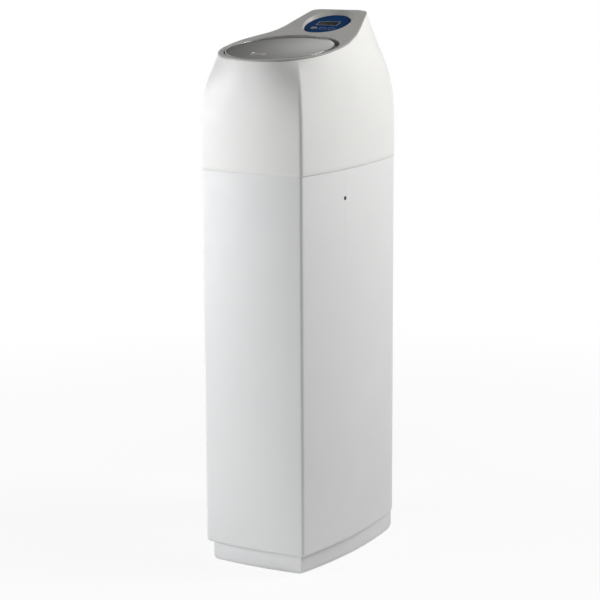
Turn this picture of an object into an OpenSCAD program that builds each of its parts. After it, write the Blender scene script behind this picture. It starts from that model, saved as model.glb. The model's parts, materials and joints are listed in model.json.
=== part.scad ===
// Cabinet water softener: a salt cabinet, a service hood with a dished salt lid and an
// oval control well, and the softening works that stand inside.
// Millimetres. The origin is on the floor under the middle of the box.
// The front faces -Y and +Z is up.

/* [Cabinet] */
// Height of the seam between cabinet and hood
cabinet_h = 850; // [845:1:860]
// Depth from the bowed front to the flat back
cabinet_d = 450; // [446:1:456]
// Half of the greatest width
half_w = 150.5; // [149:0.5:153]
// Distance of the greatest width behind the middle
wide_y = 37; // [30:1:44]
// Radius of the bowed front
front_r = 852; // [800:1:950]
// Radius of the bowed sides
side_r = 1014; // [980:1:1050]
// Rounding of the front corners
corner_r = 8; // [6:0.5:10]
// Rounding of the rear corners
rear_r = 95; // [90:1:100]
// Wall thickness
wall = 4; // [3:0.5:4.5]
// Floor thickness
floor_t = 5; // [4:0.5:6]
// Height of the set-back plinth
plinth_h = 45; // [42:1:48]
// Set-back of the plinth at the front
plinth_in = 14; // [10:1:16]
// Share of the set-back that is left at the rear
plinth_rear = 0.14; // [0.1:0.02:0.3]
// Power of the fall from the front set-back to the rear one
plinth_fall = 1.5; // [1:0.1:2]
// Height of the shadow groove under the seam
groove_h = 2; // [1:0.5:3]
// Depth of the shadow groove
groove_in = 1.5; // [1:0.5:2]
// Diameter of the overflow hole
overflow_d = 9; // [8:0.5:12]
// Overflow hole below the seam
overflow_drop = 60.5; // [56:0.5:80]
// Overflow hole in front of the middle
overflow_front = 75; // [70:1:80]
// Half width of the rear pipe notch
notch_half = 70; // [66:1:80]
// Rounding of the notch corners
notch_r = 12; // [8:1:16]

/* [Hood] */
// Wall thickness of the hood
hood_t = 3; // [2.5:0.5:3.5]
// Overhang of the hood past the cabinet
hood_over = 1.2; // [0.5:0.1:2]
// Power of the inward lean, higher keeps the foot upright for longer
hood_lean = 4.1; // [3.7:0.1:4.6]
// Depth of the locating tongue inside the cabinet
tongue_h = 14; // [8:1:18]
// Thickness of the locating tongue
tongue_t = 2.5; // [2:0.5:3]

/* [Top panel] */
// Middle of the round front of the panel, in front of the box middle
panel_mid = 65; // [60:1:70]
// Half width of the panel
panel_half = 128; // [127.5:0.5:130]
// Reach of the panel to the front of its middle
panel_front = 145; // [144.5:0.5:147]
// Squareness of the round front, 2 is an ellipse
panel_power = 2.5; // [2.3:0.1:2.7]
// Radius of the bowed panel sides
panel_side_r = 237; // [230:1:245]
// Angle of the straight tapering sides
panel_taper = 16; // [15:0.5:17]
// Rear edge of the panel behind the middle
panel_back = 190; // [188:1:192]
// Radius of the bowed rear edge
panel_back_r = 229; // [210:1:260]
// Thickness of the panel
panel_t = 3; // [2.5:0.5:4]
// Wall thickness of the lid pocket
skin = 2; // [1.5:0.1:2.2]
// Floor thickness of the control well
well_floor = 2.5; // [2:0.1:3]
// Slope of the lid area in degrees
lid_slope = 7.6; // [7:0.2:8.2]
// Slope of the rear edge in degrees
back_slope = 20; // [19:0.5:21]
// Radius of the sweep from the lid to the rear edge
sweep_r = 280; // [270:5:290]
// Start of the sweep behind the middle
sweep_y = 45; // [43:1:47]
// Height of the sweep start above the seam
sweep_rise = 264.5; // [261:0.5:268]

/* [Lid] */
// Middle of the lid in front of the box middle
lid_front = 90; // [89:0.5:90.5]
// Radius of the lid
lid_r = 114; // [112:0.5:114.5]
// Depth of the dish
dish_depth = 7.7; // [5:0.1:9]
// Width of the flat rim
rim_w = 3.5; // [2.5:0.5:4]
// Lid thickness
lid_t = 3; // [2.5:0.5:3.5]
// Radius of the lid pocket in the panel
pocket_r = 121; // [120.9:0.1:121.4]
// Shift of the pocket behind the lid middle
pocket_shift = 6.5; // [6.2:0.1:6.6]
// Depth of the pocket
pocket_depth = 12; // [11.5:0.5:14]
// Radius of the salt fill hole
fill_r = 92; // [86:1:96]
// Length of the fill neck under the pocket
neck_h = 14; // [8:1:20]
// Radius of the hinge pin
pin_r = 2; // [1.5:0.1:2.2]
// Hinge pin behind the lid edge
pin_back = 8; // [7.5:0.1:8.5]
// Hinge pin below the panel surface
pin_drop = 6; // [5.5:0.1:6.5]
// Radius of the hinge knuckles
knuckle_r = 4; // [3.5:0.1:4.2]
// Middle of a hinge ear from the lid middle
ear_x = 22; // [20:0.5:24]
// Width of a hinge ear
ear_w = 6; // [5:0.5:7]
// Middle of a knuckle from the lid middle
knuckle_x = 13; // [12:0.5:14]
// Lid rim below the panel surface
lid_sink = 0.3; // [0.1:0.1:0.6]
// Step from the rim down to the dish
rim_h = 1.5; // [1:0.1:2]
// Set-back of the lid skirt
skirt_in = 2; // [1.5:0.5:3]
// Thickness of the lid skirt
skirt_t = 2.5; // [2:0.5:3]

/* [Controls] */
// Middle of the control oval behind the box middle
oval_y = 120; // [118:0.5:121]
// Slope of the oval plate in degrees
oval_slope = 17; // [16:0.5:18.5]
// Half width of the oval
oval_half = 49; // [47:0.5:50]
// Half length of the oval
oval_len = 55.5; // [54:0.5:56.5]
// Depth of the oval well
oval_depth = 6; // [5:0.5:7]
// Flare of the well wall
oval_flare = 9; // [6:0.5:10]
// Thickness of the blue plate
fascia_t = 1.5; // [1:0.1:2]
// Width of the display window
lcd_w = 48; // [44:1:52]
// Height of the display window
lcd_h = 19; // [17:0.5:20]
// Display window above the oval middle
lcd_up = 5; // [4:0.5:8]
// Width of a button
button_w = 13; // [11:0.5:15]
// Height of a button
button_h = 9; // [8:0.5:10]
// Spacing of the buttons
button_pitch = 21; // [19:0.5:23]
// Buttons below the oval middle
button_down = 24; // [23:0.5:25]
// Button travel
button_travel = 0.8; // [0.5:0.1:1]
// Height of a button above the blue plate
button_rise = 1.4; // [1:0.1:2]
// Play of a button in its hole
button_play = 0.4; // [0.3:0.1:0.6]
// Lip that holds a button under the well floor
button_lip = 1.2; // [1:0.1:1.5]
// Thickness of the lip
lip_t = 1.5; // [1:0.1:2]
// Length of the stem below the well floor
stem_l = 4.5; // [4.2:0.1:5]
// Depth of the board below the well
board_drop = 14; // [13:0.5:16]
// Board thickness
board_t = 1.6; // [1.2:0.2:2]
// Wall thickness of the electronics cover
cover_wall = 2; // [1.5:0.5:2.5]
// Depth of the electronics cover
cover_depth = 28; // [24:1:32]

/* [Resin tank] */
// Radius of the tank
tank_r = 101.5; // [98:0.5:102]
// Wall thickness of the tank
tank_wall = 3; // [2.5:0.5:4]
// Gap between the tank and the back wall
tank_gap = 15.5; // [13:0.5:18]
// Lowest point of the tank
tank_low = 20; // [18:1:24]
// Top of the tank neck
tank_top = 775; // [765:1:778]
// Height of the domed ends
dome_h = 65; // [60:1:70]
// Radius of the tank neck
neck_r = 44; // [42:0.5:46]
// Radius of the threaded neck hole
neck_hole_r = 33; // [32:0.5:34]
// Radius of the riser tube
riser_r = 13.3; // [12:0.1:14]
// Bore radius of the riser tube
riser_bore_r = 11; // [9:0.5:11.5]
// Height of the resin
resin_top = 560; // [400:10:640]
// Radius of the slotted basket
basket_r = 21; // [19:0.5:24]
// Height of the basket
basket_h = 48; // [44:1:52]
// Riser foot above the lowest point of the tank
riser_foot = 26; // [22:1:30]
// Set-back of the foot ring from the tank wall
foot_in = 4.5; // [4:0.5:8]
// Bore radius of the foot ring
foot_bore_r = 58; // [50:1:66]

/* [Valve] */
// Height of the port axes above the tank neck
port_rise = 37; // [36:0.5:40]
// Distance of the ports from the middle
port_x = 36; // [35:0.5:38]
// Radius of the port tubes
port_r = 16; // [15:0.5:17]
// Bore radius of the ports
port_bore_r = 9; // [8:0.5:10]
// Height of the piston axis above the tank neck
barrel_rise = 75; // [74:1:78]
// Radius of the piston barrel
barrel_r = 34; // [32:1:36]
// Bore radius of the piston barrel
barrel_bore_r = 22; // [20:0.5:24]
// Piston stroke
stroke = 30; // [20:1:32]
// Radius of the piston rod
rod_r = 6; // [5:0.5:7]
// Length of the piston rod
rod_l = 88; // [84:1:92]
// Length of the piston head
head_l = 38; // [36:1:40]
// Radius of the valve flange
flange_r = 56; // [52:1:58]
// Thickness of the valve flange
flange_h = 20; // [16:1:24]
// Radius of the valve tower
tower_r = 46; // [44:1:48]
// Length of the ports from the tank axis
port_l = 73; // [70:1:74]
// Depth of the valve plug in the tank neck
plug_l = 18; // [14:1:20]
// Riser end above the tank neck
riser_rise = 12; // [10:0.5:14]
// Start of the port bores behind the tank axis
bore_start = 12; // [8:1:16]
// Depth of the brine bore
brine_bore_l = 24; // [20:1:28]
// Gap between the drive plate and the gear
gear_gap = 6.5; // [6:0.5:8]
// Length of the gear hub
hub_l = 19; // [16:1:22]
// Depth of the bearing boss
boss_l = 5.4; // [4.5:0.1:5.6]
// Radius of the drain port
drain_r = 10; // [9:0.5:11]
// Bore radius of the drain port
drain_bore_r = 4.5; // [4:0.5:5]
// Radius of the brine port
brine_port_r = 9; // [8:0.5:10]
// Reach of the brine port to the left
brine_port_l = 62; // [60:1:64]
// Height of the brine port above the tank neck
brine_port_rise = 55; // [52:1:58]
// Gear tooth module
tooth = 1.5; // [1.4:0.1:1.6]
// Teeth on the drive gear
gear_teeth = 48; // [44:4:52]
// Teeth on the motor pinion
pinion_teeth = 12; // [8:4:16]
// Width of the drive gear
gear_w = 9; // [7:0.5:10]
// Radius of the gear hub
hub_r = 12; // [10:0.5:13]
// Radius of the bearing boss
boss_r = 16; // [15:0.5:18]
// Radius of the motor shaft
shaft_r = 3; // [2.5:0.1:3.5]
// Length of the motor shaft
shaft_l = 33; // [32:0.5:34]
// Radius of the motor
motor_r = 17; // [15:0.5:19]
// Thickness of the drive plate
plate_t = 5.5; // [4:0.5:6]
// Wall thickness of the drive cover
case_t = 2.4; // [2:0.2:3]
// Half width of the drive cover
case_half = 46; // [44:0.5:46.5]
// Depth of the drive cover in front of the plate
case_l = 65; // [62:1:68]
// Radius over the corners of the union nut
nut_r = 21; // [19:0.5:22]
// Length of the union nut
nut_l = 15; // [12:1:17]
// Plain length between nut and thread
collar_l = 3; // [2:0.5:4]
// Thread radius of the pipe connectors
thread_r = 13.2; // [12:0.1:13.2]
// Length of the connector thread
thread_l = 22; // [16:1:22]

/* [Brine side] */
// Radius of the brine well
well_r = 38; // [37:0.5:40]
// Wall thickness of the brine well
well_wall = 2.5; // [2:0.5:2.5]
// Brine well left of the middle
well_left = 88; // [86:1:90]
// Brine well in front of the tank axis
well_ahead = 129; // [128:1:132]
// Height of the brine well
well_top = 800; // [780:1:806]
// Outer radius of the brine tube
tube_r = 4.75; // [4:0.25:5]
// Bore radius of the brine tube
tube_bore_r = 3.2; // [2.5:0.1:3.5]
// Bend radius of the brine tube
bend_r = 25; // [22:1:28]
// Radius of the foot valve
foot_valve_r = 18; // [16:0.5:20]
// Height of the foot valve
foot_valve_h = 105; // [95:1:115]
// Radius of the float
float_r = 21; // [18:0.5:22]
// Length of the float
float_l = 70; // [50:1:90]
// Height of the float above the floor
float_z = 330; // [250:5:380]
// Radius of the float rod
float_rod_r = 2.4; // [2:0.1:2.6]
// Play of the float rod in its guide
rod_play = 0.5; // [0.4:0.1:0.8]
// Pick-up tube end below the well rim
pickup_drop = 30; // [24:1:36]
// Pick-up tube left of the well axis
pickup_left = 12; // [10:0.5:14]
// Pick-up tube behind the well axis
pickup_back = 27; // [26:0.5:28]
// Height of the foot valve arm
arm_z = 62; // [56:1:70]
// Width of the foot valve arm
arm_w = 8; // [7:0.5:9]
// Thickness of the foot valve arm
arm_t = 16; // [14:1:18]
// Lower end of the float rod
rod_z = 55; // [50:1:60]
// Rod end above the float
rod_over = 20; // [10:1:30]
// Width of the brine slots in the well
slot_w = 8; // [6:0.5:10]
// Height of the brine slots
slot_h = 34; // [28:1:38]
// Lower end of the brine slots
slot_z = 20; // [16:1:24]
// Overhang of the well cap
cap_over = 2; // [1:0.5:2.5]
// Thickness of the well cap
cap_t = 5; // [4:0.5:6]
// Depth of the cap skirt in the well
cap_skirt = 12; // [10:1:14]
// Play of the tube in the well cap
cap_play = 0.4; // [0.3:0.1:0.6]
// Height of the salt grid
grid_z = 62; // [56:1:70]
// Thickness of the salt grid
grid_t = 4; // [3:0.5:5]
// Radius of the grid holes
grid_hole_r = 5; // [4:0.5:6]
// Play round the salt grid
grid_play = 1; // [0.5:0.5:1.5]
// Radius of the grid legs
leg_r = 6; // [5:0.5:7]
// spacing of the grid's drain holes
grid_pitch = 25; // [24:0.5:26]
// first row of holes behind the cabinet's front
grid_front = 35; // [33:1:38]
// last row of holes ahead of the vessel
grid_rear = 40; // [39:0.5:42]
// reach of the holes to the left
grid_left = 75; // [73:1:76]
// reach of the holes to the right
grid_right = 100; // [99:1:102]
// web left around the brine well
grid_web = 9; // [7:0.5:11]

/* [Fits] */
// Gap between seated pieces
seat = 0.3; // [0.2:0.05:0.4]
// Radial gap of the turning lid pin
pin_fit = 0.05; // [0.02:0.01:0.08]
// Gap around the hood tongue
tongue_gap = 0.5; // [0.4:0.1:0.8]

/* [Hidden] */
$fn = 96;
arc_steps = [7, 4, 16, 12];
levels = [0, 0.2, 0.36, 0.49, 0.59, 0.675, 0.745, 0.805, 0.855, 0.9, 0.938, 0.971, 1];
front_c = [0, front_r - cabinet_d / 2];
tank_y = cabinet_d / 2 - wall - tank_gap - tank_r;
side_c = [half_w - side_r, wide_y];
axis = [0, -panel_mid];
hood_z = cabinet_h + seat;
sweep_z = cabinet_h + sweep_rise;
sweep_cy = sweep_y - sweep_r * sin(lid_slope);
sweep_cz = sweep_z + sweep_r * cos(lid_slope);
sweep_end = sweep_cy + sweep_r * sin(back_slope);
sweep_end_z = sweep_cz - sweep_r * cos(back_slope);
panel_side_c = [panel_half - panel_side_r, axis.y];
taper_n = [cos(panel_taper), sin(panel_taper)];
taper_c = taper_n * panel_side_c + panel_side_r;
floor_z = -pocket_depth;
knuckle_w = 2 * (ear_x - ear_w / 2 - seat - knuckle_x);
pin_l = 2 * ear_x + ear_w + 1;
button_foot = -well_floor - stem_l;
board_top = board_t - board_drop;
pin_y = lid_r + pin_back;
oval_ratio = oval_half / oval_len;
valve_z = tank_top + seat;
port_z = tank_top + port_rise;
barrel_z = tank_top + barrel_rise;
port_end = tank_y + port_l;
gear_r = tooth * gear_teeth / 2;
pinion_r = tooth * pinion_teeth / 2;
motor_z = barrel_z + gear_r + pinion_r;
barrel_front = tank_y - 70;
plate_y = barrel_front - seat - plate_t;
drive_low = barrel_z - gear_r - 20;
drive_high = motor_z + 32;
cover_front = plate_y - case_l;
rod_y = cover_front + 12;
head_y = rod_y + rod_l;
bore_end = head_y + head_l + stroke + 8;
well_at = [-well_left, tank_y - well_ahead];
hole_front = grid_front - cabinet_d / 2;
hole_rear = tank_y - tank_r - grid_rear;
pickup_at = well_at + [-pickup_left, pickup_back];
brine_port_x = -brine_port_l;
brine_port_z = tank_top + brine_port_rise;

// Points of an arc from angle a0 to a1
function arc(c, r, a0, a1, n) = [for (k = [0:n]) let (
    a = a0 + (a1 - a0) * k / n
) c + r * [cos(a), sin(a)]];

function tail(list) = [for (k = [1:len(list) - 1]) list[k]];

function heading(v) = atan2(v.y, v.x);

// Point at distance r1 from c1 and r2 from c2, on the front right
function meet(c1, r1, c2, r2) = let (
    d = norm(c2 - c1),
    u = (c2 - c1) / d,
    a = (r1 * r1 - r2 * r2 + d * d) / (2 * d),
    h = sqrt(r1 * r1 - a * a)
) c1 + a * u + h * [-u.y, u.x];

// Right half of the cabinet outline, set in by the given distance, front to back
function half_outline(in) = let (
    rc = max(corner_r - in, 1.5),
    f = meet(front_c, front_r - in - rc, side_c, side_r - in - rc),
    gy = cabinet_d / 2 - rear_r,
    g = [side_c.x + sqrt(pow(side_r - rear_r, 2) - pow(gy - side_c.y, 2)), gy],
    a1 = heading(f - front_c),
    a2 = heading(f - side_c),
    a3 = heading(g - side_c)
) concat(
    arc(front_c, front_r - in, -90, a1, arc_steps[0]),
    tail(arc(f, rc, a1, a2, arc_steps[1])),
    tail(arc(side_c, side_r - in, a2, a3, arc_steps[2])),
    tail(arc(g, rear_r - in, a3, 90, arc_steps[3]))
);

function outline(in) = let (h = half_outline(in), n = len(h)) concat(
    h, [for (k = [n - 1:-1:1]) [-h[k].x, h[k].y]]
);

// Plinth outline, set back at the front and nearly flush at the rear
function plinth_outline(in) = let (
    far = outline(in),
    near = outline(plinth_in + in)
) [for (k = [0:len(far) - 1]) let (
    s = pow(0.5 - far[k].y / cabinet_d, plinth_fall)
) far[k] + (near[k] - far[k]) * (plinth_rear + (1 - plinth_rear) * s)];

// Distance from p along d to the far side of a circle
function exit_circle(p, d, c, r) = let (v = c - p, b = v * d) b + sqrt(b * b - v * v + r * r);

// Reach of the panel outline along a direction from its middle
function panel_exit(d) = let (
    e = [abs(d.x), d.y],
    bow = exit_circle(axis, e, panel_side_c, panel_side_r),
    straight = (taper_c - taper_n * axis) / max(taper_n * e, 0.001),
    back = exit_circle(axis, e, [0, panel_back - panel_back_r], panel_back_r)
) d.y < 0
    ? pow(pow(e.x / panel_half, panel_power) + pow(-e.y / panel_front, panel_power), -1 / panel_power)
    : min(heading(axis + bow * e - panel_side_c) < panel_taper ? bow : straight, back);

function top_edge(in) = [for (p = outline(0)) let (
    d = (p - axis) / norm(p - axis)
) axis + d * (panel_exit(d) - in)];

// Height of the sloping top at a depth
function panel_z(y) = y < sweep_y
    ? sweep_z + tan(lid_slope) * (y - sweep_y)
    : y < sweep_end
    ? sweep_cz - sqrt(sweep_r * sweep_r - pow(y - sweep_cy, 2))
    : sweep_end_z + tan(back_slope) * (y - sweep_end);

function flat_ring(pts, z) = [for (p = pts) [p.x, p.y, z]];

function lean(t) = pow(t, hood_lean);

// Ring of the hood wall at level t, from its foot to an edge lying under the panel
function hood_ring(foot, edge, t, drop = 0) = [for (k = [0:len(foot) - 1]) let (
    p = foot[k] + (edge[k] - foot[k]) * lean(t),
    z = panel_z(edge[k].y) - panel_t - seat - drop
) [p.x, p.y, hood_z + t * (z - hood_z)]];

function lid_dish(r) = -lid_sink - rim_h - dish_depth * (1 - pow(r / (lid_r - rim_w), 2));

module lid_frame() {
    translate([0, -lid_front, panel_z(-lid_front)])
        rotate([lid_slope, 0, 0])
            children();
}

module oval_frame() {
    translate([0, oval_y, panel_z(oval_y)])
        rotate([oval_slope, 0, 0])
            translate([0, 0, -oval_depth])
                children();
}

// Upright oval disc, given by its half length
module oval(r, h, top = 0) {
    scale([oval_ratio, 1, 1])
        cylinder(r1 = r, r2 = top > 0 ? top : r, h = h);
}

// Cylinder lying along +Y from a start point
module along_y(from, r, l) {
    translate(from)
        rotate([-90, 0, 0])
            cylinder(r = r, h = l);
}

// Cylinder lying along +X from a start point
module along_x(from, r, l) {
    translate(from)
        rotate([0, 90, 0])
            cylinder(r = r, h = l);
}

// Closed skin through a loop of rings
module ring_skin(rings) {
    n = len(rings[0]);
    m = len(rings);
    polyhedron(
        points = [for (r = rings) for (p = r) p],
        faces = [for (k = [0:m - 1]) for (i = [0:n - 1]) let (
            a = k * n + i,
            b = k * n + (i + 1) % n,
            c = ((k + 1) % m) * n + (i + 1) % n,
            d = ((k + 1) % m) * n + i
        ) each [[a, d, c], [a, c, b]]],
        convexity = 6
    );
}

module notch() {
    low = port_z - 37;
    translate([-notch_half, tank_y + 60, low + notch_r])
        cube([2 * notch_half, cabinet_d, cabinet_h]);
    translate([notch_r - notch_half, tank_y + 60, low])
        cube([2 * (notch_half - notch_r), cabinet_d, cabinet_h]);
    for (x = [-1, 1])
        along_y([x * (notch_half - notch_r), tank_y + 60, low + notch_r], notch_r, cabinet_d);
}

module cabinet() {
    lean = asin((-overflow_front - side_c.y) / side_r);
    color("white")
        difference() {
            union() {
                linear_extrude(plinth_h + 2)
                    polygon(plinth_outline(0));
                translate([0, 0, plinth_h])
                    linear_extrude(cabinet_h - groove_h - plinth_h)
                        polygon(outline(0));
                translate([0, 0, cabinet_h - groove_h - 2])
                    linear_extrude(groove_h + 2)
                        polygon(outline(groove_in));
            }
            translate([0, 0, floor_t])
                linear_extrude(plinth_h + wall - floor_t + 1)
                    polygon(plinth_outline(wall));
            translate([0, 0, plinth_h + wall])
                linear_extrude(cabinet_h)
                    polygon(outline(wall));
            notch();
            translate([side_c.x, side_c.y, cabinet_h - overflow_drop])
                rotate([0, 0, lean])
                    along_x([side_r - 12, 0, 0], overflow_d / 2, 24);
        }
}

module hood() {
    top = len(levels) - 1;
    tongue_out = wall + tongue_gap;
    tongue_in = tongue_out + tongue_t;
    foot_out = outline(-hood_over);
    foot_ring = outline(hood_t - hood_over);
    color("white")
        ring_skin(concat(
            [for (t = levels) hood_ring(foot_out, top_edge(0), t)],
            [for (k = [top:-1:1]) hood_ring(foot_ring, top_edge(hood_t), levels[k], hood_t)],
            [hood_ring(foot_ring, top_edge(hood_t), 0.012)],
            [flat_ring(outline(tongue_in), hood_z + hood_t)],
            [flat_ring(outline(tongue_in), hood_z - tongue_h)],
            [flat_ring(outline(tongue_out), hood_z - tongue_h)],
            [flat_ring(outline(tongue_out), hood_z)]
        ));
}

// Sloping sheet that follows the top
module panel_sheet() {
    sweep = [for (k = [0:14]) sweep_y + (sweep_end - sweep_y) * k / 14];
    ys = concat([-cabinet_d / 2], sweep, [cabinet_d / 2]);
    n = len(ys);
    intersection() {
        translate([0, 0, cabinet_h])
            linear_extrude(cabinet_h)
                polygon(top_edge(0));
        translate([-cabinet_d / 2, 0, 0])
            rotate([90, 0, 90])
                linear_extrude(cabinet_d)
                    polygon(concat(
                        [for (y = ys) [y, panel_z(y)]],
                        [for (k = [n - 1:-1:0]) [ys[k], panel_z(ys[k]) - panel_t]]
                    ));
    }
}

module top_panel() {
    cup_len = oval_len + 1.5;
    color("gray")
        difference() {
            union() {
                panel_sheet();
                lid_frame() {
                    translate([0, pocket_shift, floor_z - skin])
                        cylinder(r = pocket_r + skin, h = pocket_depth + skin - 1);
                    translate([0, 0, floor_z - skin - neck_h])
                        cylinder(r = fill_r + skin, h = neck_h + skin);
                }
                oval_frame()
                    translate([0, 0, -well_floor])
                        oval(cup_len, oval_depth + well_floor - 0.5, cup_len + oval_flare * 0.67);
            }
            lid_frame() {
                difference() {
                    translate([0, pocket_shift, floor_z])
                        cylinder(r = pocket_r, h = 3 * pocket_depth);
                    for (x = [-1, 1]) {
                        translate([x * ear_x - ear_w / 2, pin_y - knuckle_r, floor_z - 1])
                            cube([ear_w, 2 * knuckle_r, pocket_depth - pin_drop + 1]);
                        along_x([x * ear_x - ear_w / 2, pin_y, -pin_drop], knuckle_r, ear_w);
                    }
                }
                translate([0, 0, floor_z - skin - neck_h - 1])
                    cylinder(r = fill_r, h = 2 * neck_h);
                along_x([-pin_l, pin_y, -pin_drop], pin_r + 0.02, 2 * pin_l);
            }
            oval_frame() {
                oval(oval_len, 2 * oval_depth, oval_len + oval_flare);
                translate([-lcd_w / 2, lcd_up - lcd_h / 2, -5])
                    cube([lcd_w, lcd_h, 10]);
                button_row()
                    translate([0, 0, -5])
                        button_disc(button_play, 10);
            }
        }
}

module lid() {
    rim_in = lid_r - rim_w;
    skirt_out = lid_r - skirt_in;
    skirt_bore = skirt_out - skirt_t;
    under = -lid_sink - lid_t;
    foot = floor_z + seat;
    steps = 12;
    color("darkgray")
        lid_frame()
            difference() {
                union() {
                    rotate_extrude($fn = 180)
                        polygon(concat(
                            [for (k = [0:steps]) let (r = rim_in * k / steps) [r, lid_dish(r)]],
                            [[rim_in + 0.4, -lid_sink], [lid_r, -lid_sink], [lid_r, under]],
                            [[skirt_out, under], [skirt_out, foot], [skirt_bore, foot]],
                            [
                                for (k = [steps:-1:0])
                                    let (r = skirt_bore * k / steps) [r, lid_dish(r) - lid_t]
                            ]
                        ));
                    for (x = [-1, 1]) {
                        along_x([x * knuckle_x - knuckle_w / 2, pin_y, -pin_drop], knuckle_r, knuckle_w);
                        translate([x * knuckle_x - knuckle_w / 2, lid_r - 8, -pin_drop - 3])
                            cube([knuckle_w, pin_y - lid_r + 8, 5]);
                    }
                }
                along_x([-pin_l, pin_y, -pin_drop], pin_r + pin_fit, 2 * pin_l);
            }
}

module lid_pin() {
    color("silver")
        lid_frame()
            along_x([-pin_l / 2, pin_y, -pin_drop], pin_r, pin_l);
}

module button_disc(grow, h) {
    scale([(button_w + 2 * grow) / (button_h + 2 * grow), 1, 1])
        cylinder(r = button_h / 2 + grow, h = h);
}

module button_row() {
    for (k = [-1:1])
        translate([k * button_pitch, -button_down, 0])
            children();
}

module fascia() {
    color("midnightblue")
        oval_frame()
            difference() {
                oval(oval_len - seat, fascia_t);
                translate([-lcd_w / 2, lcd_up - lcd_h / 2, -1])
                    cube([lcd_w, lcd_h, 10]);
                button_row()
                    translate([0, 0, -1])
                        button_disc(button_play, 10);
            }
}

module lcd_window() {
    color("black")
        oval_frame()
            translate([seat - lcd_w / 2, lcd_up - lcd_h / 2 + seat, -well_floor])
                cube([lcd_w - 2 * seat, lcd_h - 2 * seat, well_floor + fascia_t - 0.3]);
}

// Oval cap, a flange under the well floor and a stem towards its switch
module button(k, shade) {
    color(shade)
        oval_frame()
            translate([k * button_pitch, -button_down, 0]) {
                translate([0, 0, -well_floor - 0.5])
                    button_disc(0, well_floor + 0.5 + fascia_t + button_rise);
                translate([0, 0, -well_floor - seat - lip_t])
                    button_disc(button_lip, lip_t);
                translate([0, 0, button_foot])
                    cylinder(r = 2, h = stem_l);
            }
}

module button_left() {
    button(-1, "tan");
}

module button_middle() {
    button(0, "royalblue");
}

module button_right() {
    button(1, "royalblue");
}

module circuit_board() {
    color("green")
        oval_frame() {
            translate([0, 0, -board_drop])
                oval(oval_len - 7, board_t);
            button_row()
                translate([-3, -3, -board_drop + 0.5])
                    cube([6, 6, board_drop + button_foot - 3]);
            button_row()
                translate([0, 0, -board_drop + 0.5])
                    cylinder(r = 1.6, h = board_drop + button_foot - seat - button_travel - 0.5);
        }
}

module lcd_module() {
    color("dimgray")
        oval_frame()
            translate([-lcd_w / 2 - 4, lcd_up - 12, board_top])
                cube([lcd_w + 8, 24, -board_top - well_floor - seat]);
}

module board_cover() {
    low = -well_floor - seat - cover_depth;
    color("lightgray")
        oval_frame()
            difference() {
                translate([0, 0, low])
                    oval(oval_len - 2, cover_depth);
                translate([0, 0, low + cover_wall])
                    oval(oval_len - 2 - cover_wall, cover_depth + 5);
                translate([-12, -oval_len, low + 4])
                    cube([24, 12, 8]);
            }
    color("lightgray")
        oval_frame()
            for (a = [45:90:315])
                translate([oval_ratio * 36 * cos(a), 36 * sin(a), low + cover_wall / 2])
                    cylinder(r = 3, h = -board_drop - low - cover_wall / 2);
}

// Points of an elliptic dome
function dome(r, h, a0, a1, n = 14) = [for (k = [0:n]) let (
    a = a0 + (a1 - a0) * k / n
) [r * cos(a), h * sin(a)]];

function lift(pts, z) = [for (p = pts) [p.x, p.y + z]];

module resin_tank() {
    low = tank_low + dome_h;
    high = tank_top - 20 - dome_h * sin(acos(neck_r / tank_r));
    r_in = tank_r - tank_wall;
    h_in = dome_h - tank_wall;
    color("steelblue")
        translate([0, tank_y, 0])
            rotate_extrude()
                polygon(concat(
                    lift(dome(tank_r, dome_h, -90, 0), low),
                    lift(dome(tank_r, dome_h, 0, acos(neck_r / tank_r)), high),
                    [[neck_r, tank_top], [neck_hole_r, tank_top]],
                    lift(dome(r_in, h_in, acos(neck_hole_r / r_in), 0), high),
                    lift(dome(r_in, h_in, 0, -90), low)
                ));
}

module tank_base() {
    r = tank_r - foot_in;
    low = tank_low + dome_h;
    big = tank_r + seat;
    color("black")
        translate([0, tank_y, 0])
            rotate_extrude()
                polygon(concat(
                    [[foot_bore_r, floor_t], [r, floor_t]],
                    lift(dome(big, dome_h + seat, -acos(r / big), -acos(foot_bore_r / big)), low)
                ));
}

module riser_tube() {
    color("ivory")
        translate([0, tank_y, 0])
            difference() {
                translate([0, 0, tank_low + riser_foot])
                    cylinder(r = riser_r, h = tank_top + riser_rise - tank_low - riser_foot);
                translate([0, 0, tank_low])
                    cylinder(r = riser_bore_r, h = tank_top);
            }
}

// Slotted basket round the foot of the riser
module distributor() {
    r_in = tank_r - tank_wall;
    low = tank_low + dome_h + seat - (dome_h - tank_wall) * sqrt(1 - pow(basket_r / r_in, 2));
    color("gray")
        translate([0, tank_y, 0])
            difference() {
                translate([0, 0, low])
                    cylinder(r = basket_r, h = basket_h);
                translate([0, 0, tank_low + riser_foot - seat])
                    cylinder(r = riser_r + seat, h = 60);
                translate([0, 0, low + 4])
                    cylinder(r = riser_bore_r, h = 60);
                for (z = [6:5:basket_h - 12], a = [0, 90])
                    rotate([0, 0, a])
                        translate([-30, -9, low + z])
                            cube([60, 18, 2]);
            }
}

module resin_bed() {
    low = tank_low + dome_h;
    r = tank_r - tank_wall - seat;
    h = dome_h - tank_wall - seat;
    hole = basket_r + seat;
    shoulder = tank_low + dome_h - h + basket_h + 6;
    color("goldenrod")
        translate([0, tank_y, 0])
            rotate_extrude()
                polygon(concat(
                    lift(dome(r, h, -acos(hole / r), 0), low),
                    [[r, resin_top], [riser_r + seat, resin_top]],
                    [[riser_r + seat, shoulder], [hole, shoulder]]
                ));
}

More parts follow.
